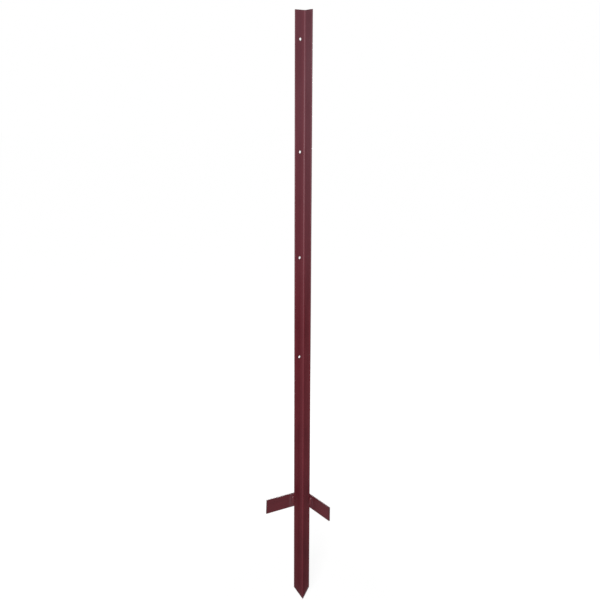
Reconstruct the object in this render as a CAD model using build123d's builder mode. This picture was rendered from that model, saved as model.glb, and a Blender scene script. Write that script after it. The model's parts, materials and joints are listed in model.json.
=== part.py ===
"""Steel angle fence post with a driving point, a row of wire holes and two welded anchor wings.

Frame, in millimetres. Z is the outer corner line of the rolled angle, with +Z up and the origin at
the driven tip. The holed flange runs from the corner along -X and its outer face is the plane Y = 0.
The plain flange runs from the corner along -Y and its outer face is the plane X = 0.
"""

import os

from build123d import *

# Rolled equal angle
post_length = 1800
flange_width = 35
flange_thickness = 3.5
root_radius = 5
toe_radius = 2.5

# Point for driving: how far up the cut climbs on each flange, and the blunt that is left at the tip
point_rise_holed = 55
point_rise_plain = 62
tip_blunt = 2

# Row of punched wire holes
hole_diameter = 8
hole_count = 4
hole_spacing = 300
top_hole_drop = 75
hole_gauge = 18

# Anchor wings, cut from flat bar and lapped on the outer faces of the flanges, where they stop a
# little short of the outer corner. They are set by eye: the right one is level, and the left one
# leans by this many degrees, so that its outer end stands high.
wing_width = 45
wing_thickness = 4
wing_edge_radius = 0.6
wing_reach = 100
wing_corner_gap = 5
wing_top_height = 385
left_wing_lean = 2.5

# Fillet weld that joins each wing to the toe of its flange
weld_length = 32
weld_leg = 9
weld_below_wing_top = 6
weld_axis_depth = 3.5

os.makedirs("parts", exist_ok=True)

# The angle is its own mirror image about the plane that halves its corner
corner_plane = Plane(origin=(0, 0, 0), z_dir=(1, -1, 0))


def finish_piece(piece, label):
    """Name a finished piece and write it to its own file."""
    piece.label = label
    export_step(piece, f"parts/{label}.step")


# The rolled angle: one section, extruded, with a filleted root and rounded toes
with BuildPart() as angle_post:
    with BuildSketch() as angle_section:
        with BuildLine():
            Polyline(
                (0, 0),
                (-flange_width, 0),
                (-flange_width, -flange_thickness),
                (-flange_thickness, -flange_thickness),
                (-flange_thickness, -flange_width),
                (0, -flange_width),
                close=True,
            )
        make_face()
        corners = angle_section.vertices()
        root = corners.sort_by_distance((-flange_thickness, -flange_thickness))[0]
        fillet(root, root_radius)
        holed_toe = angle_section.vertices().sort_by_distance((-flange_width, -flange_thickness))[0]
        plain_toe = angle_section.vertices().sort_by_distance((-flange_thickness, -flange_width))[0]
        fillet([holed_toe, plain_toe], toe_radius)
    extrude(amount=post_length)

    # Each flange is cut off on a slant, so that the outer corner is left as the point
    with BuildSketch(Plane.XZ):
        with BuildLine():
            Polyline(
                (-tip_blunt, 0),
                (-flange_width, point_rise_holed),
                (-flange_width, 0),
                close=True,
            )
        make_face()
    extrude(amount=flange_width, mode=Mode.SUBTRACT)
    with BuildSketch(Plane.YZ):
        with BuildLine():
            Polyline(
                (-tip_blunt, 0),
                (-flange_width, point_rise_plain),
                (-flange_width, 0),
                close=True,
            )
        make_face()
    extrude(amount=-flange_width, mode=Mode.SUBTRACT)

    # Wire holes, punched through the holed flange in one line that hangs from the top
    hole_row_height = (hole_count - 1) * hole_spacing
    hole_row_middle = post_length - top_hole_drop - hole_row_height / 2
    with Locations(Plane.XZ):
        with Locations((-hole_gauge, hole_row_middle)):
            with GridLocations(0, hole_spacing, 1, hole_count):
                Hole(hole_diameter / 2)
finish_piece(angle_post.part, "angle_post")


# Right wing: flat bar lapped on the outer face of the plain flange, reaching past its toe
wing_length = flange_width - wing_corner_gap + wing_reach
wing_middle_height = wing_top_height - wing_width / 2
with BuildPart() as right_wing:
    with BuildSketch(Plane.XZ.offset(flange_width + wing_reach)):
        with Locations((wing_thickness / 2, wing_middle_height)):
            RectangleRounded(wing_thickness, wing_width, wing_edge_radius)
    extrude(amount=-wing_length)
finish_piece(right_wing.part, "right_wing")

# Left wing: the same bar on the outer face of the holed flange, leaned about the point where its
# middle line crosses the toe
left_lean_axis = Axis((-flange_width, 0, wing_middle_height), (0, 1, 0))
with BuildPart() as left_wing:
    level_bar = mirror(right_wing.part, about=corner_plane, mode=Mode.PRIVATE)
    add(level_bar.rotate(left_lean_axis, left_wing_lean))
finish_piece(left_wing.part, "left_wing")


# Left weld: a round-ended bead whose surface runs from the wing to the top of the rounded toe.
# Its axis lies a little behind the wing's face, which keeps the bead shallow.
bead_foot_x = -flange_width - weld_leg
bead_toe_x = -flange_width + toe_radius
foot_term = bead_foot_x**2 + weld_axis_depth**2
toe_term = bead_toe_x**2 + (flange_thickness + weld_axis_depth) ** 2
bead_axis_x = (foot_term - toe_term) / (2 * (bead_foot_x - bead_toe_x))
bead_radius = ((bead_foot_x - bead_axis_x) ** 2 + weld_axis_depth**2) ** 0.5
bead_top_height = wing_top_height - weld_below_wing_top
bead_middle_height = bead_top_height - weld_length / 2
with BuildPart() as left_weld:
    bead_middle = (bead_axis_x, weld_axis_depth, bead_middle_height)
    with BuildSketch(Plane(origin=bead_middle, x_dir=(1, 0, 0), z_dir=(0, -1, 0))):
        SlotOverall(weld_length, 2 * bead_radius, rotation=90)
        with Locations((bead_radius / 2, 0)):
            Rectangle(bead_radius, weld_length, mode=Mode.INTERSECT)
    revolve(axis=Axis(bead_middle, (0, 0, 1)))
    split(bisect_by=Plane.XZ)
    add(angle_post.part, mode=Mode.SUBTRACT)
finish_piece(left_weld.part, "left_weld")

# Right weld: the same bead in the corner between the other wing and toe
with BuildPart() as right_weld:
    add(left_weld.part)
    mirror(about=corner_plane, mode=Mode.REPLACE)
finish_piece(right_weld.part, "right_weld")
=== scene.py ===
# %% [markdown]
# A painted steel angle post, dressed for the studio.
# The real post is a length of hot-rolled steel angle. Both flanges are cut off on a slant to make a
# driving point, four wire holes are punched in one flange, and two flat-bar wings are welded on low
# down, so that the post can't turn or lift in the soil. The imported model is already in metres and
# already stands in its place, so nothing is moved or scaled here. Blender makes what the plain
# solids leave out: rounded arrises, sheared ends, rippled weld beads and the coat of paint.

# %% Load the frame
import json
import math

import bmesh
import bpy
from mathutils import Matrix, Vector, noise


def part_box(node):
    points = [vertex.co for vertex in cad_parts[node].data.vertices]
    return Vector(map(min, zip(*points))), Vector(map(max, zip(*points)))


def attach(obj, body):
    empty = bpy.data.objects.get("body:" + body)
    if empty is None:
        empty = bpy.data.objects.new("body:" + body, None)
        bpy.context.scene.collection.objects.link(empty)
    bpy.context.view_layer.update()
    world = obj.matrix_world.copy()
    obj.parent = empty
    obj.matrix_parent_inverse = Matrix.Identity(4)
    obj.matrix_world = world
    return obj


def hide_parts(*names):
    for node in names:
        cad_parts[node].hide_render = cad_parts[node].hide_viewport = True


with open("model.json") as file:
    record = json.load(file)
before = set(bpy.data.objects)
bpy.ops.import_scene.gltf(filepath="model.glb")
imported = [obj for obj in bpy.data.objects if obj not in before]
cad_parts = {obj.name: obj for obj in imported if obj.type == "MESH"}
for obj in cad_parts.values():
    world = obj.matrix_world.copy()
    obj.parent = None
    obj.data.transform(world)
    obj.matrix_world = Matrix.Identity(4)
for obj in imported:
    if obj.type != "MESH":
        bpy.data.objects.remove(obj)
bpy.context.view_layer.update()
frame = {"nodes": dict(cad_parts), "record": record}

print("solids loaded:", sorted(frame["nodes"]))

# %% [markdown]
# A photograph fixes the camera before it fixes anything else. This camera stands about as high as
# a person holds one, a little over two metres from the post, and looks down into the hollow side of
# the angle. Its place and lens were found by fitting the post's real sizes to a picture of it, so
# they are odd numbers rather than round ones. The picture is square, so the lens alone sets the view.

# %% Place the camera
camera_place = Vector((-1.281, -1.834, 1.550))
heading = math.radians(-34.622)
tilt_down = math.radians(13.902)
roll = math.radians(0.189)
lens_length = 47.06
sensor_size = 36.0

turn = Matrix.Rotation(heading, 4, "Z")
tilt = Matrix.Rotation(math.pi / 2 - tilt_down, 4, "X")
camera_data = bpy.data.cameras.new("camera")
camera_data.lens = lens_length
camera_data.sensor_width = sensor_size
camera = bpy.data.objects.new("camera", camera_data)
camera.matrix_world = Matrix.Translation(camera_place) @ turn @ tilt @ Matrix.Rotation(roll, 4, "Z")
bpy.context.scene.collection.objects.link(camera)
bpy.context.scene.camera = camera
bpy.context.scene.view_settings.view_transform = "Standard"
print("camera stands", round(camera_place.xy.length, 2), "m from the post")

# %% [markdown]
# Sizes come from the frame where it holds them: a node's box gives the width of a flange or a bar,
# and the record's bolt patterns give the wire holes. The few sizes that no box shows, such as the
# thickness of the flange, are named in millimetres in the cell that needs them first.

# %% Main sizes of the angle
MM = 0.001

post_low, post_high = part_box("angle_post")
flange_width = -post_low.x
post_length = post_high.z
flange_thickness = 3.5 * MM
print("flange", flange_width, "m wide, post", post_length, "m long")

# %% [markdown]
# Materials are small networks of nodes. A helper adds one node and feeds its sockets, with a number
# where the value is the same all over, or with another node's output where it changes from place to
# place. Every pattern reads Object coordinates, in metres, so a size in a texture is a real size.
# The Mix node has a set of sockets for each kind of value, so its colour sockets go by number.

# %% Helpers for materials
FACTOR, FIRST_COLOUR, SECOND_COLOUR, MIXED_COLOUR = 0, 6, 7, 2


def add_node(tree, kind, inputs, **settings):
    """Add a node, set its options, and feed each named or numbered socket."""
    node = tree.nodes.new(kind)
    for setting, value in settings.items():
        setattr(node, setting, value)
    for socket, value in inputs.items():
        if isinstance(value, bpy.types.NodeSocket):
            tree.links.new(value, node.inputs[socket])
        else:
            node.inputs[socket].default_value = value
    return node


def pattern_at(tree, coordinates, grain, stretch=1.0, detail=3.0, along=2):
    """Noise with grains of this real size, drawn out by the stretch along X, Y or Z (0, 1 or 2)."""
    scale = [1 / grain] * 3
    scale[along] /= stretch
    mapping = add_node(tree, "ShaderNodeMapping", {"Vector": coordinates, "Scale": scale})
    inputs = {"Vector": mapping.outputs["Vector"], "Scale": 1.0, "Detail": detail}
    return add_node(tree, "ShaderNodeTexNoise", inputs).outputs["Fac"]


def between(tree, value, low, high, result_low=0.0, result_high=1.0):
    """Stretch the part of a value that lies from low to high over a new range."""
    inputs = {
        "Value": value, "From Min": low, "From Max": high,
        "To Min": result_low, "To Max": result_high,
    }
    return add_node(tree, "ShaderNodeMapRange", inputs).outputs["Result"]


def combine(tree, operation, first, second):
    """Join two values with one step of arithmetic."""
    return add_node(tree, "ShaderNodeMath", {0: first, 1: second}, operation=operation).outputs[0]


def mix_colours(tree, factor, first, second):
    """Go from the first colour to the second as the factor goes from 0 to 1."""
    inputs = {FACTOR: factor, FIRST_COLOUR: first, SECOND_COLOUR: second}
    return add_node(tree, "ShaderNodeMix", inputs, data_type="RGBA").outputs[MIXED_COLOUR]


# %% [markdown]
# The coat is one thin layer of oxide-red primer, dipped or brushed on over mill scale. Real primer
# is never one colour. It lies thicker and thinner in clouds about as long as a hand and in fine
# streaks drawn out along each bar, and where it is thin, the dark scale shows through. An image
# could be laid on the steel to show this, but it would need unwrapping and have a set sharpness.
# Two noises, stretched along the bar, need neither and show the same on every side.

# %% Thick and thin paint
deep_red = (0.080, 0.0060, 0.0115, 1)
full_red = (0.118, 0.0125, 0.0200, 1)
cloud_size = 55 * MM
cloud_stretch = 2.5
cloud_share = 0.6
streak_width = 3.2 * MM
streak_stretch = 40


def streaky_red(tree, clouds, streaks):
    """Deep red where the coat is thin, full red where it is thick."""
    cloudy_part = combine(tree, "MULTIPLY", clouds, cloud_share)
    streaky_part = combine(tree, "MULTIPLY", streaks, 1 - cloud_share)
    thickness = combine(tree, "ADD", cloudy_part, streaky_part)
    return mix_colours(tree, between(tree, thickness, 0.36, 0.64), deep_red, full_red)


print("clouds are", round(cloud_size * cloud_stretch / MM, 1), "mm long")
print("streaks are", round(streak_width * streak_stretch / MM, 1), "mm long")

# %% [markdown]
# The coat is painted paler and greyer up the post. This is a painted reflection: it stands for the
# light that the satin paint mirrors on its upper length. The painted veil is weaker towards the toe
# of the holed flange, where less light is mirrored. Both changes follow a direction, so they are read
# straight
# from the coordinates: the height, and X minus Y, which grows steadily from one toe through the root
# to the other. The clouds break them up.

# %% Painted veil of reflected light
# Painted reflection: this paler, greyer red stands for light mirrored on the upper length.
painted_veil_red = (0.137, 0.0470, 0.0610, 1)
painted_veil_heights = (0.92, 1.60)
painted_veil_fade = (-38 * MM, -4 * MM)
painted_veil_at_toe = 0.60


def add_painted_veil(tree, colour, coordinates, clouds):
    """Paint reflected light as a pale veil, more with height and less towards the holed flange's toe.
    """
    place = add_node(tree, "ShaderNodeSeparateXYZ", {0: coordinates}).outputs
    veil_by_height = between(tree, place["Z"], *painted_veil_heights)
    sideways = combine(tree, "SUBTRACT", place["X"], place["Y"])
    veil_by_toe = between(tree, sideways, *painted_veil_fade, painted_veil_at_toe, 1.0)
    patches = between(tree, clouds, 0.3, 0.7, 0.7, 1.0)
    patchy_painted_veil = combine(tree, "MULTIPLY", veil_by_height, combine(tree, "MULTIPLY", veil_by_toe, patches))
    return mix_colours(tree, patchy_painted_veil, colour, painted_veil_red)


print("painted_veil grows from", painted_veil_heights[0], "to", painted_veil_heights[1], "m above the tip")

# %% [markdown]
# Two patches come on top. The heat of welding dulls an oval of paint round each bead. A long pale
# strip in the hollow corner is a painted highlight, standing for the light that the rounded root
# reflects.
# Both are made the same way. A Mapping node divides the place by the half axes of the oval, so that
# the length of the result is 1 on the oval's rim. The streaks push the rim in and out, so that it
# looks ragged and not drawn. The strip is an oval too, so long that its ends lie far past the post.

# %% Patches of heat and painted highlight
scorched_red = (0.118, 0.0270, 0.0360, 1)
scorch_oval = (20 * MM, 20 * MM, 40 * MM)
scorch_core = 0.8
# Painted highlight: this pale red strip stands for the light that the rounded root reflects.
painted_highlight_red = (0.163, 0.0430, 0.0530, 1)
painted_highlight_line = (-10 * MM, -4.5 * MM, 0)
painted_highlight_oval = (9 * MM, 4.2 * MM, 100)
painted_highlight_core = 0.25
painted_highlight_share = 0.40
rim_wander = 0.08


def oval_patch(tree, coordinates, streaks, middle, half_axes, core):
    """1 in the core of an oval, falling to 0 at its rim, which the streaks make ragged."""
    inputs = {"Vector": coordinates, "Location": middle, "Scale": half_axes}
    oval = add_node(tree, "ShaderNodeMapping", inputs, vector_type="TEXTURE").outputs["Vector"]
    reach = add_node(tree, "ShaderNodeVectorMath", {0: oval}, operation="LENGTH").outputs["Value"]
    wander = between(tree, streaks, 0.3, 0.7, -rim_wander, rim_wander)
    return between(tree, combine(tree, "ADD", reach, wander), 1.0, core)


def scorch(tree, colour, coordinates, streaks, middle):
    """Dull the paint round a weld."""
    scorched = oval_patch(tree, coordinates, streaks, middle, scorch_oval, scorch_core)
    return mix_colours(tree, scorched, colour, scorched_red)


def add_painted_highlight(tree, colour, coordinates, streaks, middle):
    """Paint a pale highlight along a line of the post, where the rounded root reflects light."""
    highlight_shape = oval_patch(tree, coordinates, streaks, middle, painted_highlight_oval, painted_highlight_core)
    highlight_amount = combine(tree, "MULTIPLY", highlight_shape, painted_highlight_share)
    return mix_colours(tree, highlight_amount, colour, painted_highlight_red)


print("heat reaches", [round(reach / MM, 1) for reach in scorch_oval], "mm from a weld")

# %% [markdown]
# Wet paint pulls back from a sharp arris, and handling wears it there, so that an arris looks darker
# and browner. Blender can find edges by itself, as Pointiness, but that changes with the fineness of
# the mesh. Here each mesh will carry a number of its own, 1 on an arris and 0 elsewhere. The paint
# reads it as an attribute and breaks it up with a noise.

# %% Worn arrises
arris_brown = (0.050, 0.0140, 0.0160, 1)
wear_size = 9 * MM
least_wear = 0.25
most_wear = 0.85


def wear_arrises(tree, colour, coordinates):
    """Turn the colour brown along the arrises, here more and there less."""
    arris = add_node(tree, "ShaderNodeAttribute", {}, attribute_name="arris").outputs["Fac"]
    broken = pattern_at(tree, coordinates, wear_size)
    wear = between(tree, broken, 0.35, 0.6, least_wear, most_wear)
    return mix_colours(tree, combine(tree, "MULTIPLY", arris, wear), colour, arris_brown)


print("wear comes and goes about every", round(wear_size / MM, 1), "mm")

# %% [markdown]
# Thick primer dries with fine dimples, called orange peel, and grains of mill scale stand up under
# it. All of this is a few hundredths of a millimetre high. As real faces it would take millions of
# them, so a Bump node tilts the shading instead, which no outline gives away at this size.

# %% Orange peel and scale grains
peel_size = 2.4 * MM
grain_size = 0.7 * MM
grain_share = 0.4
peel_height = 0.05 * MM
peel_strength = 0.5


def coat_relief(tree, coordinates, peel):
    """The bumpy normal of the coat: dimples all over, with some finer grains standing up."""
    fine = pattern_at(tree, coordinates, grain_size, detail=2)
    grains = combine(tree, "MULTIPLY", between(tree, fine, 0.55, 0.75), grain_share)
    relief = combine(tree, "ADD", peel, grains)
    inputs = {"Height": relief, "Strength": peel_strength, "Distance": peel_height}
    return add_node(tree, "ShaderNodeBump", inputs).outputs["Normal"]


print("peel is", round(peel_size / MM, 2), "mm wide and", round(peel_height / MM, 2), "mm high")

# %% [markdown]
# Now the finishes are put together, each laid over the one before, and one Principled shader takes
# them all. Its gloss is low, a little sheen stands for the powdery face of chalked paint, and both
# are the same all over, so they are plain numbers on its sockets. Clouds and peel vary the
# roughness, because a coat of uneven thickness dries unevenly dull. The wings and welds get the
# same coat with other numbers.

# %% The coat of paint
def make_paint(
    name, gloss, roughness=(0.27, 0.40), sheen=0.0, along=2, scorch_at=None, painted_highlight_at=None
):
    """Oxide-red primer, streaked along X, Y or Z, with its painted veil, heat patch and painted root
    highlight.
    """
    paint = bpy.data.materials.new(name)
    paint.use_nodes = True
    tree = paint.node_tree
    tree.nodes.clear()
    coordinates = add_node(tree, "ShaderNodeTexCoord", {}).outputs["Object"]
    clouds = pattern_at(tree, coordinates, cloud_size, stretch=cloud_stretch, detail=4, along=along)
    streaks = pattern_at(tree, coordinates, streak_width, stretch=streak_stretch, along=along)
    peel = pattern_at(tree, coordinates, peel_size, detail=2)

    colour = streaky_red(tree, clouds, streaks)
    colour = add_painted_veil(tree, colour, coordinates, clouds)
    if scorch_at:
        colour = scorch(tree, colour, coordinates, streaks, scorch_at)
    if painted_highlight_at:
        colour = add_painted_highlight(tree, colour, coordinates, streaks, painted_highlight_at)
    colour = wear_arrises(tree, colour, coordinates)

    unevenness = combine(tree, "MULTIPLY", combine(tree, "ADD", clouds, peel), 0.5)
    inputs = {
        "Base Color": colour,
        "Roughness": between(tree, unevenness, 0.35, 0.65, *roughness),
        "Specular IOR Level": gloss,
        "Sheen Weight": sheen,
        "Sheen Roughness": 0.5,
        "Normal": coat_relief(tree, coordinates, peel),
    }
    shader = add_node(tree, "ShaderNodeBsdfPrincipled", inputs)
    add_node(tree, "ShaderNodeOutputMaterial", {"Surface": shader.outputs["BSDF"]})
    print("paint", name, "has", len(tree.nodes), "nodes")
    return paint


# The post's coat carries the painted highlight along its root and the painted veil up its length.
post_paint = make_paint(
    "oxide_red_on_rolled_angle", gloss=0.15, roughness=(0.32, 0.44), sheen=0.11, painted_highlight_at=painted_highlight_line
)

# %% [markdown]
# The angle starts as its section, six corners of an L in one flat face. Rounding the corners first
# and then pulling the section up to the full length gives every arris in one go, which is also how
# the rolls make it. The root gets the largest radius, the toes a smaller one on their inner side,
# and the heel and the backs of the toes only the small one that rolling leaves on a sharp corner.

# %% Roll the angle
root_radius = 5 * MM
toe_radius = 2.5 * MM
heel_radius = 0.8 * MM
toe_back_radius = 0.5 * MM

section_corners = {
    "heel": (0, 0),
    "holed_toe_back": (-flange_width, 0),
    "holed_toe": (-flange_width, -flange_thickness),
    "root": (-flange_thickness, -flange_thickness),
    "plain_toe": (-flange_thickness, -flange_width),
    "plain_toe_back": (0, -flange_width),
}
radii_and_segments = {
    "heel": (heel_radius, 4),
    "holed_toe_back": (toe_back_radius, 3),
    "holed_toe": (toe_radius, 8),
    "root": (root_radius, 12),
    "plain_toe": (toe_radius, 8),
    "plain_toe_back": (toe_back_radius, 3),
}
angle = bmesh.new()
corners = {name: angle.verts.new((x, y, 0)) for name, (x, y) in section_corners.items()}
angle.faces.new(list(corners.values()))
for name, (radius, segments) in radii_and_segments.items():
    bmesh.ops.bevel(
        angle, geom=[corners[name]], offset=radius, offset_type="OFFSET", segments=segments,
        profile=0.5, affect="VERTICES", material=-1,
    )
pulled = bmesh.ops.extrude_face_region(angle, geom=angle.faces[:])
top_corners = [item for item in pulled["geom"] if isinstance(item, bmesh.types.BMVert)]
bmesh.ops.translate(angle, verts=top_corners, vec=(0, 0, post_length))
bmesh.ops.recalc_face_normals(angle, faces=angle.faces[:])
print("rolled section has", len(top_corners), "corners")

# %% [markdown]
# The point is two slanted cuts, one across each flange, that leave the heel as the longest line. A
# Boolean could make them, but a plane cut is simpler and leaves a clean loop of edges. What lies
# beyond the plane is cleared, and a flat face closes the wound. The same plane is used again a
# little further in, without clearing anything: those extra edges hold the shading and the worn band
# close to the arris. The top end and the long sides get such edges too.

# %% Cut the driving point and square the top
SAME_PLACE = 0.001 * MM
tip_blunt = 2 * MM
point_rise_holed = 55 * MM
point_rise_plain = 62 * MM
edge_band = 2 * MM


def cut(shape, point, normal, clear=False):
    """Cut the shape along a plane. With clear, what lies on the normal's side goes."""
    everything = shape.verts[:] + shape.edges[:] + shape.faces[:]
    result = bmesh.ops.bisect_plane(
        shape, geom=everything, dist=SAME_PLACE, plane_co=point, plane_no=normal, clear_outer=clear
    )
    if clear:
        rim = [item for item in result["geom_cut"] if isinstance(item, bmesh.types.BMEdge)]
        bmesh.ops.holes_fill(shape, edges=rim, sides=0)
        shape.normal_update()


cut_normals = []
for axis, rise in ((0, point_rise_holed), (1, point_rise_plain)):
    start = Vector((0, 0, 0))
    start[axis] = -tip_blunt
    normal = Vector((0, 0, tip_blunt - flange_width))
    normal[axis] = -rise
    normal.normalize()
    cut(angle, start, normal, clear=True)
    cut(angle, start - normal * edge_band, normal)
    cut_normals.append(normal)
cut(angle, (0, 0, post_length - edge_band), (0, 0, 1))
for distance in (edge_band, flange_width - edge_band - toe_back_radius):
    cut(angle, (-distance, 0, 0), (1, 0, 0))
    cut(angle, (0, -distance, 0), (0, 1, 0))
print("after the cuts:", len(angle.verts), "vertices")

# %% [markdown]
# Four wire holes stand in one line up the holed flange. The record gives them as two bolt patterns
# on one middle, the inner pair and the outer pair, so half of each spacing is taken down and up from
# that middle. The flange is cut into a small square round each hole, ready for the punch.

# %% Mark out the wire holes
square_reach = 8 * MM

patterns = [mount for mount in frame["record"]["mounts"] if mount["kind"] == "bolt_pattern"]
hole_radius = patterns[0]["dims"]["hole_r_mm"] * MM
hole_gauge = -patterns[0]["pos_m"][0]
hole_heights = []
for pattern in patterns:
    half_spacing = pattern["dims"]["spacing_y_mm"] * MM / 2
    row_middle = pattern["pos_m"][2]
    hole_heights += [row_middle - half_spacing, row_middle + half_spacing]
hole_heights.sort()
for reach in (-square_reach, square_reach):
    cut(angle, (-hole_gauge + reach, 0, 0), (1, 0, 0))
    for height in hole_heights:
        cut(angle, (0, 0, height + reach), (0, 0, 1))
print("holes at", hole_heights, "m above the tip")

# %% [markdown]
# A Boolean with a cylinder would leave long thin slivers round each hole. Here the four sides of the
# square are divided, the square is inset, and the new ring of vertices is pushed out onto a circle.
# A second inset, pushed out to the hole's own radius, leaves a narrow band of even faces round the
# hole, which a bevel can follow without pinching.

# %% Turn a square into a round opening
side_parts = 8
rim_band = 1.6 * MM


def ring_on_circle(face, centre, radius):
    """Push the corners of a face onto a circle round the hole's axis."""
    for vertex in face.verts:
        outward = vertex.co - centre
        outward.y = 0
        vertex.co = centre + outward.normalized() * radius


def open_side(shape, centre):
    """Turn the square at this side of the flange into rings, and return the face in the hole."""
    shape.normal_update()
    square = min(
        (face for face in shape.faces if abs(face.normal.y) > 0.99),
        key=lambda face: (face.calc_center_median() - centre).length,
    )
    bmesh.ops.bisect_edges(shape, edges=square.edges[:], cuts=side_parts - 1)
    for radius in (hole_radius + rim_band, hole_radius):
        bmesh.ops.inset_individual(shape, faces=[square], thickness=rim_band / 2)
        ring_on_circle(square, centre, radius)
    return square


print("each opening gets", 4 * side_parts, "corners")

# %% [markdown]
# Once both sides of the flange have a round opening, the two circles are bridged into the wall of
# the hole. The punch drags the entry side into a soft roll and leaves the exit side sharper, so the
# two rims are beveled with different radii. The same bevel will round every other arris too.

# %% Punch the wire holes
entry_roll = 0.55 * MM
exit_arris = 0.2 * MM


def round_edges(shape, edges, radius, segments):
    """Round edges by a bevel, as a rolled or worn arris is round."""
    bmesh.ops.bevel(
        shape, geom=edges, offset=radius, offset_type="OFFSET", segments=segments,
        profile=0.5, affect="EDGES", material=-1, clamp_overlap=True,
    )
    shape.normal_update()


for height in hole_heights:
    back = open_side(angle, Vector((-hole_gauge, 0, height)))
    front = open_side(angle, Vector((-hole_gauge, -flange_thickness, height)))
    back_rim, front_rim = back.edges[:], front.edges[:]
    bmesh.ops.delete(angle, geom=[back, front], context="FACES_ONLY")
    bmesh.ops.bridge_loops(angle, edges=back_rim + front_rim)
    angle.normal_update()
    round_edges(angle, back_rim, entry_roll, 4)
    round_edges(angle, [edge for edge in front_rim if edge.is_valid], exit_arris, 2)
print("punched", len(hole_heights), "holes of", 2 * hole_radius, "m")

# %% [markdown]
# A shear or a saw leaves a sharp arris, and handling and paint take the sharpness off it. All edges
# that run round a cut end are therefore rounded by a third of a millimetre. They are found by their
# faces: one of the two lies in the plane of a cut end and the other doesn't.

# %% Ease the cut ends
cut_arris = 0.35 * MM
end_normals = [Vector((0, 0, 1)), Vector((0, 0, -1))] + cut_normals


def end_of(face):
    """Number of the cut end that a face belongs to, or None for the sides of the angle."""
    for number, normal in enumerate(end_normals):
        if face.normal.dot(normal) > 0.9999:
            return number
    return None


end_edges = [
    edge for edge in angle.edges
    if edge.is_manifold and end_of(edge.link_faces[0]) != end_of(edge.link_faces[1])
]
round_edges(angle, end_edges, cut_arris, 2)
print("eased", len(end_edges), "edges")

# %% [markdown]
# The angle is ready for its coat. First its arrises are marked for the paint, wherever two faces
# meet at more than a few degrees. Then the bmesh becomes an object, which stays at the origin and
# rides on the post in place of its plain solid. The bevels are narrow beside large flats, so the
# normals are weighted by the size of the faces, and the flats stay flat in the shading.

# %% Finish the angle
BODY = "root"


def mark_arrises(shape, sharper_than=15):
    """Store 1 at the vertices of an arris and 0 elsewhere, for the paint to read."""
    arris = shape.verts.layers.float.new("arris")
    limit = math.radians(sharper_than)
    for vertex in shape.verts:
        angles = [edge.calc_face_angle(0) for edge in vertex.link_edges]
        vertex[arris] = 1.0 if max(angles) > limit else 0.0


def finish_piece(shape, name, replaced_node, paint):
    """Turn a bmesh into a painted object that stands for a node of the frame."""
    open_edges = sum(not edge.is_manifold for edge in shape.edges)
    mesh = bpy.data.meshes.new(name)
    shape.to_mesh(mesh)
    shape.free()
    mesh.shade_smooth()
    mesh.materials.append(paint)
    piece = bpy.data.objects.new(name, mesh)
    bpy.context.scene.collection.objects.link(piece)
    level_normals = piece.modifiers.new("level_normals", "WEIGHTED_NORMAL")
    level_normals.weight = 100
    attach(piece, BODY)
    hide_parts(replaced_node)
    print(name, "has", len(mesh.polygons), "faces and", open_edges, "open edges")


mark_arrises(angle)
finish_piece(angle, "rolled_angle", "angle_post", post_paint)

# %% [markdown]
# A wing is a short length of flat bar. The bar comes from the rolls with its four long edges just
# broken, and from the shear with ends that slant, because the blade pushes the last of the metal
# aside before it parts. A cube that fills the bar's box, beveled and slanted, does all of that. The
# right wing is level, so its box in the frame is the bar itself: it runs in Y and is thin in X.

# %% Shear the flat bar
bar_edge_radius = 0.6 * MM
shear_slant = 0.45 * MM
wing_low, wing_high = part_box("right_wing")


def block_in(low, high):
    """A plain block that fills the box between two corners."""
    block = bmesh.new()
    bmesh.ops.create_cube(block, size=1)
    bmesh.ops.scale(block, vec=high - low, verts=block.verts[:])
    bmesh.ops.translate(block, vec=(low + high) / 2, verts=block.verts[:])
    block.normal_update()
    return block


def shear_bar():
    """The level bar in the box of the right wing."""
    bar = block_in(wing_low, wing_high)
    long_edges = [
        edge for edge in bar.edges
        if abs(edge.verts[0].co.y - edge.verts[1].co.y) > SAME_PLACE
    ]
    round_edges(bar, long_edges, bar_edge_radius, 3)
    for end in (wing_low.y + edge_band, wing_high.y - edge_band):
        cut(bar, (0, end, 0), (0, 1, 0))
    for side in (wing_low.z + edge_band, wing_high.z - edge_band):
        cut(bar, (0, 0, side), (0, 0, 1))
    for vertex in bar.verts:
        depth = (vertex.co.x - wing_low.x) / (wing_high.x - wing_low.x)
        if vertex.co.y < wing_low.y + SAME_PLACE:
            vertex.co.y += shear_slant * depth
        elif vertex.co.y > wing_high.y - SAME_PLACE:
            vertex.co.y -= shear_slant * (1 - depth)
    bar.normal_update()
    sheared_edges = [
        edge for edge in bar.edges
        if len({abs(face.normal.y) > 0.9 for face in edge.link_faces}) == 2
    ]
    round_edges(bar, sheared_edges, cut_arris, 2)
    mark_arrises(bar)
    return bar


print("a bar is", wing_high.y - wing_low.y, "m long and", wing_high.z - wing_low.z, "m wide")

# %% [markdown]
# The two wings are the same bar. The left one has its sides swapped, X for Y, and is turned a little
# about the point where its middle line crosses the toe, because the welder sets such bars by eye.
# Swapping turns a mesh inside out, so its normals are worked out again. Each wing has a paint of its
# own, because the streaks run along the bar and the heat patch lies round its own weld.

# %% Set the wings
left_wing_lean = math.radians(2.5)
swap_sides = Matrix(((0, 1, 0), (1, 0, 0), (0, 0, 1))).to_4x4()

weld_low, weld_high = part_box("left_weld")
weld_middle = (weld_low.z + weld_high.z) / 2
left_wing_paint = make_paint(
    "oxide_red_on_left_wing", gloss=0.20, along=0, scorch_at=(-flange_width, 0, weld_middle)
)
right_wing_paint = make_paint(
    "oxide_red_on_right_wing", gloss=0.10, along=1, scorch_at=(0, -flange_width, weld_middle)
)
finish_piece(shear_bar(), "right_wing_bar", "right_wing", right_wing_paint)

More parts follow.
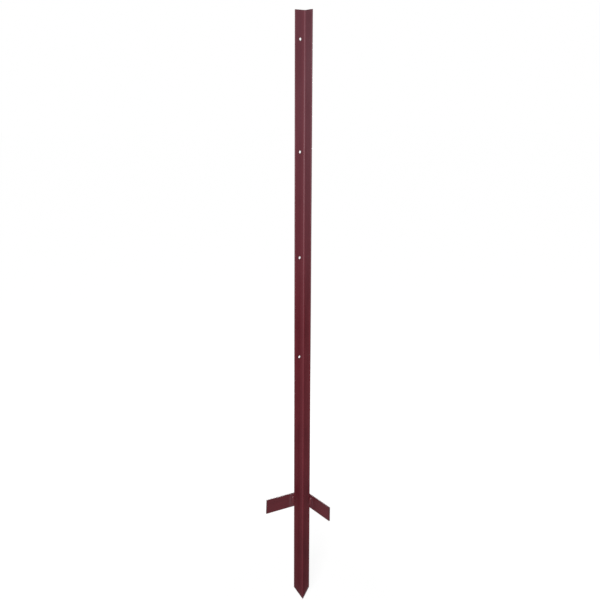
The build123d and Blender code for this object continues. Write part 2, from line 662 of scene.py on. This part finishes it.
left_bar = shear_bar()
bmesh.ops.transform(left_bar, matrix=swap_sides, verts=left_bar.verts[:])
toe_crossing = Vector((-flange_width, 0, (wing_low.z + wing_high.z) / 2))
lean = Matrix.Rotation(left_wing_lean, 3, "Y")
bmesh.ops.rotate(left_bar, verts=left_bar.verts[:], cent=toe_crossing, matrix=lean)
bmesh.ops.recalc_face_normals(left_bar, faces=left_bar.faces[:])
finish_piece(left_bar, "left_wing_bar", "left_wing", left_wing_paint)

# %% [markdown]
# A hand-laid weld bead is a row of small frozen pools, each overlapping the last, with rounded ends
# where the arc was struck and broken. Its body is a sphere pulled apart into a capsule, whose axis
# lies a little behind the face of the wing. The capsule's size follows from the box of the weld.
# Many thin cuts divide it into rows fine enough to carry the ripples.

# %% Body of a weld bead
bead_axis_depth = 3.5 * MM
row_height = 0.35 * MM

bead_radius = bead_axis_depth - weld_low.y
bead_chord = math.sqrt(bead_radius**2 - bead_axis_depth**2)
bead_axis_x = weld_low.x + bead_chord
half_straight = (weld_high.z - weld_low.z) / 2 - bead_chord


def capsule_in_rows():
    """A sphere pulled apart along Z, with its straight part cut into fine rows."""
    capsule = bmesh.new()
    bmesh.ops.create_uvsphere(capsule, u_segments=72, v_segments=36, radius=bead_radius)
    for vertex in capsule.verts:
        vertex.co.z += half_straight if vertex.co.z > SAME_PLACE else -half_straight
    rows = int(2 * half_straight / row_height) + 1
    for row in range(rows):
        cut(capsule, (0, 0, ((row + 0.5) / rows * 2 - 1) * half_straight), (0, 0, 1))
    return capsule


print("bead has a radius of", bead_radius, "m and is straight for", 2 * half_straight, "m")

# %% [markdown]
# Each frozen pool leaves a scallop: a broad round crest between two narrow valleys, which bow along
# the run as the round edge of a pool does. A power below 1 of a cosine has that shape. Two noises
# spoil it, one that lets the spacing wander and one for lumps, as a hand is never steady. The seed
# picks another part of the noises, so that no two beads are alike.

# %% Ripples of a weld bead
ripple_pitch = 2.1 * MM
ripple_depth = 0.42 * MM
ripple_bow = 1.8 * MM
crest_power = 0.6
wander_reach = 0.5 * MM
wander_length = 6 * MM
lump_length = 4 * MM
lumps_around = 2
lump_share = 0.25


def ripple(around, height, seed):
    """How far in a point of the bead lies, from 0 on a crest to the full depth in a valley."""
    wander = noise.noise(Vector((seed, height / wander_length, 0)))
    bowed = height + ripple_bow * math.cos(around) + wander_reach * wander
    valley = 1 - abs(math.cos(math.pi * bowed / ripple_pitch)) ** crest_power
    lump = noise.noise(Vector((around * lumps_around, height / lump_length, seed)))
    return ripple_depth * ((1 - lump_share) * valley + lump_share * (1 + lump) / 2)


def press_ripples(capsule, seed):
    """Push each point in towards the axis, or towards the middle of its round end."""
    for vertex in capsule.verts:
        around = math.atan2(vertex.co.x, -vertex.co.y)
        axis_height = max(-half_straight, min(half_straight, vertex.co.z))
        outward = (vertex.co - Vector((0, 0, axis_height))).normalized()
        vertex.co -= outward * ripple(around, vertex.co.z, seed)


print("a bead has about", round((weld_high.z - weld_low.z) / ripple_pitch), "ripples")

# %% [markdown]
# Molten metal takes the shape of what it lies on, so the bead is hollow where it wraps the rounded
# toe. A Boolean takes that part away. Its cutter isn't the whole angle but a plain block with the
# toe's rounding, which stands past the bead on its other sides: two faces in one plane would leave
# a Boolean with loose edges. The two objects that it needs are thrown away at once.

# %% Seat a bead on the toe
def toe_block():
    """A block with the rounding of the holed flange's toe, as long as a bead and a little more."""
    low = Vector((-flange_width, -flange_thickness, weld_low.z - edge_band))
    high = Vector((0, edge_band, weld_high.z + edge_band))
    block = block_in(low, high)
    toe_edges = [
        edge for edge in block.edges
        if all((vertex.co.xy - low.xy).length < SAME_PLACE for vertex in edge.verts)
    ]
    round_edges(block, toe_edges, toe_radius, 8)
    return block


def take_away(shape, cutter):
    """Take a closed cutter away from a closed shape, and return what is left."""
    stands = []
    for part in (shape, cutter):
        mesh = bpy.data.meshes.new("for_boolean")
        part.to_mesh(mesh)
        part.free()
        stands.append(bpy.data.objects.new("for_boolean", mesh))
        bpy.context.scene.collection.objects.link(stands[-1])
    boolean = stands[0].modifiers.new("seat", "BOOLEAN")
    boolean.operation = "DIFFERENCE"
    boolean.solver = "EXACT"
    boolean.object = stands[1]
    bpy.context.view_layer.update()
    evaluated = stands[0].evaluated_get(bpy.context.evaluated_depsgraph_get())
    result = bmesh.new()
    result.from_mesh(evaluated.data)
    for stand in stands:
        bpy.data.meshes.remove(stand.data)
    return result


print("the cutter stands", round(edge_band / MM, 1), "mm past each end of the bead")

# %% [markdown]
# Both beads are laid the same way. The rippled capsule is moved to the corner between wing and toe,
# a plane takes away what would lie inside the wing, and the toe is taken out of it. The right bead
# is the left one with its sides swapped and another seed. A weld's own ripples are steep, so only
# its rim counts as an arris. Its paint has a little more gloss, as it flows smooth over the ripples.

# %% Lay the weld beads
def make_bead(name, replaced_node, mirrored, seed, paint):
    """A capsule with ripples, cut flat against the wing and seated on the toe."""
    bead = capsule_in_rows()
    press_ripples(bead, seed)
    bmesh.ops.translate(bead, vec=(bead_axis_x, bead_axis_depth, weld_middle), verts=bead.verts[:])
    cut(bead, (0, 0, 0), (0, 1, 0), clear=True)
    seated = take_away(bead, toe_block())
    if mirrored:
        bmesh.ops.transform(seated, matrix=swap_sides, verts=seated.verts[:])
    bmesh.ops.recalc_face_normals(seated, faces=seated.faces[:])
    mark_arrises(seated, sharper_than=50)
    finish_piece(seated, name, replaced_node, paint)


weld_paint = make_paint("oxide_red_on_weld", gloss=0.26, roughness=(0.26, 0.38))
make_bead("left_weld_bead", "left_weld", False, 1.0, weld_paint)
make_bead("right_weld_bead", "right_weld", True, 7.0, weld_paint)

# %% [markdown]
# A white studio must show white and light softly, and one number can't do both. So what is seen
# directly, or mirrored in the steel, gets its own level: Light Path tells those rays from the soft
# light that falls on things. The world is white where it is seen, and a faint fill for the rest.

# %% World
sky_light = 0.13
white = (1, 1, 1, 1)


def seen_directly(tree):
    """1 for rays from the camera and for reflected or transmitted ones, 0 for soft light."""
    path = add_node(tree, "ShaderNodeLightPath", {})
    glossy, transmitted = path.outputs["Is Glossy Ray"], path.outputs["Is Transmission Ray"]
    mirrored = combine(tree, "MAXIMUM", glossy, transmitted)
    return combine(tree, "MAXIMUM", path.outputs["Is Camera Ray"], mirrored)


world = bpy.data.worlds.new("studio")
world.use_nodes = True
sky_tree = world.node_tree
sky_tree.nodes.clear()
sky_level = between(sky_tree, seen_directly(sky_tree), 0.0, 1.0, sky_light, 1.0)
sky = add_node(sky_tree, "ShaderNodeBackground", {"Color": white, "Strength": sky_level})
add_node(sky_tree, "ShaderNodeOutputWorld", {"Surface": sky.outputs[0]})
bpy.context.scene.world = world
print("the world lights the post at a level of", sky_light)

# %% [markdown]
# The floor is one plain pale sheet without an edge in view. It has to look white and still carry the
# post's soft shadow, and it mustn't throw so much light up that the foot of the post turns as bright
# as its head. So it is a mid-grey matt surface with white light of its own, which only the camera
# and the reflections see. That light is a little weaker round the post, where the lamps add enough
# to reach white, so that what they don't reach stays visible as a shadow.

# %% Floor
floor_reach = 40
floor_grey = (0.22, 0.22, 0.22, 1)
glow_by_post = 0.84
glow_far_off = 0.97
glow_grows = (0.25, 1.5)

floor_shape = bmesh.new()
bmesh.ops.create_grid(floor_shape, x_segments=1, y_segments=1, size=floor_reach)
floor_mesh = bpy.data.meshes.new("floor")
floor_shape.to_mesh(floor_mesh)
floor_shape.free()
floor = bpy.data.objects.new("floor", floor_mesh)
bpy.context.scene.collection.objects.link(floor)
floor_paint = bpy.data.materials.new("pale_floor")
floor_paint.use_nodes = True
floor_tree = floor_paint.node_tree
floor_tree.nodes.clear()
matt = add_node(floor_tree, "ShaderNodeBsdfDiffuse", {"Color": floor_grey})
floor_spot = add_node(floor_tree, "ShaderNodeTexCoord", {}).outputs["Object"]
from_post = add_node(floor_tree, "ShaderNodeVectorMath", {0: floor_spot}, operation="LENGTH")
own_light = between(floor_tree, from_post.outputs["Value"], *glow_grows, glow_by_post, glow_far_off)
glow_level = combine(floor_tree, "MULTIPLY", seen_directly(floor_tree), own_light)
glow = add_node(floor_tree, "ShaderNodeEmission", {"Strength": glow_level})
both = add_node(floor_tree, "ShaderNodeAddShader", {0: matt.outputs[0], 1: glow.outputs[0]})
add_node(floor_tree, "ShaderNodeOutputMaterial", {"Surface": both.outputs[0]})
floor_mesh.materials.append(floor_paint)
print("floor is", 2 * floor_reach, "m wide")

# %% [markdown]
# Two soft lamps light the post. The front one stands behind the camera at the height of the post's
# upper half, like a window. It reaches into the hollow of the angle, so both inner faces are lit,
# and the foot, being further off, is a little darker. The rounded root and toes mirror it as thin
# pale lines, which show that the corners are round. The back lamp does the same for the outer faces.
# It stands in the camera's view, so the camera is told not to see it, while reflections still do.

# %% Lamps
def soft_lamp(name, place, aim, width, height, power):
    """A rectangular lamp that looks from its place towards a point."""
    lamp = bpy.data.lights.new(name, "AREA")
    lamp.shape = "RECTANGLE"
    lamp.size = width
    lamp.size_y = height
    lamp.energy = power
    stand = bpy.data.objects.new(name, lamp)
    direction = Vector(aim) - Vector(place)
    facing = direction.to_track_quat("-Z", "Y").to_matrix().to_4x4()
    stand.matrix_world = Matrix.Translation(place) @ facing
    stand.visible_camera = False
    bpy.context.scene.collection.objects.link(stand)
    print(name, "stands", round(direction.length, 2), "m from where it aims, at", power, "W")


soft_lamp(
    "front_lamp", place=(-1.52, -1.72, 1.27), aim=(0, 0, 1.60), width=0.7, height=1.0, power=62
)
soft_lamp(
    "back_lamp", place=(1.57, 1.94, 1.60), aim=(0, 0, 1.10), width=1.4, height=0.7, power=50
)
